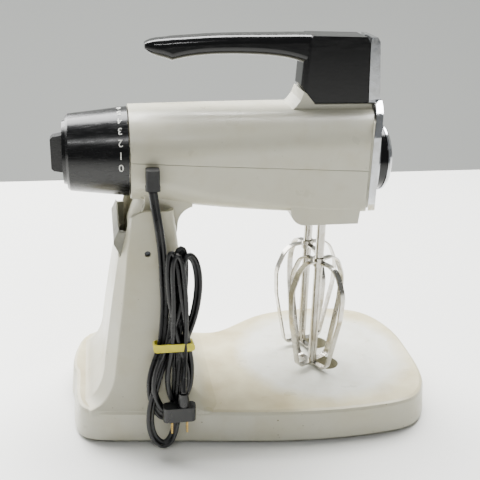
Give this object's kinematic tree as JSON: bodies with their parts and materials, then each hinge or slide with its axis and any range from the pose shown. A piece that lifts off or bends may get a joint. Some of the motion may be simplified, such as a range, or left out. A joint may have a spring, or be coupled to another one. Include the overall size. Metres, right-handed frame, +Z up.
{
  "type": "stand mixer",
  "caption": "Kitchen stand mixer: tilting motor head with grip, twist dial and chromed front, on a tall pillar with a flat bowl platform and two beaters.",
  "frame": {"origin": "on the table under the middle of the mixer, measured without its mains lead", "axes": "+X towards the front of the mixer (the beater end), +Y away from the side that carries the lead, +Z up"},
  "size_m": [0.3361, 0.2041, 0.3369],
  "materials": {
    "cream_plastic": "moulded, yellowed",
    "base_sheet": "matt",
    "black_rubber": "matt",
    "zinc_steel": "zinc plated",
    "dark_steel": "oiled",
    "grey_plastic": "ribbed",
    "black_plastic": "gloss moulded",
    "chrome_plate": "plated",
    "phenolic_board": "satin",
    "lamination_steel": "laminated",
    "copper_wire": "enamelled",
    "bearing_bronze": "sintered",
    "carbon": "matt",
    "nylon_gear": "satin",
    "beater_chrome": "tarnished plating",
    "cord_vinyl": "moulded vinyl",
    "yellow_rubber": "satin",
    "brass_blade": "bright"
  },
  "bodies": {
    "stand": {"stand_shell": "cream_plastic", "bottom_plate": "base_sheet", "rubber_feet": "black_rubber", "base_screws": "zinc_steel", "turntable_cups": "cream_plastic", "hinge_pin": "dark_steel", "spring_seat": "zinc_steel", "lever_spring": "zinc_steel", "cord_lead": "cord_vinyl", "cord_hank": "cord_vinyl", "tie_band": "yellow_rubber", "plug_body": "cord_vinyl", "plug_blades": "brass_blade"},
    "head": {"tilt_bracket": "cream_plastic", "upper_housing": "cream_plastic", "lower_housing": "cream_plastic", "handle": "black_plastic", "handle_screws": "zinc_steel", "front_gasket": "cream_plastic", "front_trim": "chrome_plate", "medallion_back": "chrome_plate", "medallion_band": "black_plastic", "medallion_bezel": "chrome_plate", "medallion_centre": "black_plastic", "speed_switch": "phenolic_board", "field_core": "lamination_steel", "field_coils": "copper_wire", "front_bearings": "bearing_bronze", "rear_bearing": "bearing_bronze", "rear_motor_plate": "zinc_steel", "front_motor_plate": "zinc_steel", "carbon_brushes": "carbon", "brush_holders": "bearing_bronze", "gear_plate": "zinc_steel", "spindle_bushes": "bearing_bronze", "cord_gland": "black_rubber"},
    "dial": {"speed_dial": "black_plastic", "dial_grip": "black_plastic", "dial_shaft": "zinc_steel"},
    "motor": {"motor_shaft": "dark_steel", "armature_core": "lamination_steel", "armature_windings": "copper_wire", "commutator": "copper_wire", "worm": "dark_steel", "cooling_fan": "black_plastic"},
    "left_beater_drive": {"beater_left": "beater_chrome", "spindle_left": "dark_steel", "worm_wheel_left": "nylon_gear"},
    "right_beater_drive": {"beater_right": "beater_chrome", "spindle_right": "dark_steel", "worm_wheel_right": "nylon_gear"},
    "lever": {"release_lever": "grey_plastic"}
  },
  "joints": [
    {"name": "head_tilt", "type": "hinge", "parent": "stand", "child": "head", "pos_m": [-0.0925, 0, 0.166], "axis": [0, -1, 0], "range_deg": [0, 35]},
    {"name": "dial_turn", "type": "hinge", "parent": "head", "child": "dial", "pos_m": [-0.13, 0, 0.239], "axis": [1, 0, 0], "range_deg": [0, 187]},
    {"name": "motor_spin", "type": "hinge", "parent": "head", "child": "motor", "pos_m": [0, 0, 0.238], "axis": [1, 0, 0], "continuous": true},
    {"name": "left_beater_spin", "type": "hinge", "parent": "head", "child": "left_beater_drive", "pos_m": [0.0625, 0.021, 0.1], "axis": [0, 0, 1], "continuous": true},
    {"name": "right_beater_spin", "type": "hinge", "parent": "head", "child": "right_beater_drive", "pos_m": [0.0625, -0.021, 0.1], "axis": [0, 0, 1], "continuous": true},
    {"name": "lever_press", "type": "slide", "parent": "stand", "child": "lever", "axis": [1, 0, 0], "range_m": [0, 0.0025], "stiffness_N_per_m": 500, "springref_m": -0.002, "deforming": ["lever_spring"]}
  ],
  "couplings": [
    {"joint": "left_beater_spin", "follows": "motor_spin", "ratio": 0.0625},
    {"joint": "right_beater_spin", "follows": "motor_spin", "ratio": -0.0625}
  ]
}
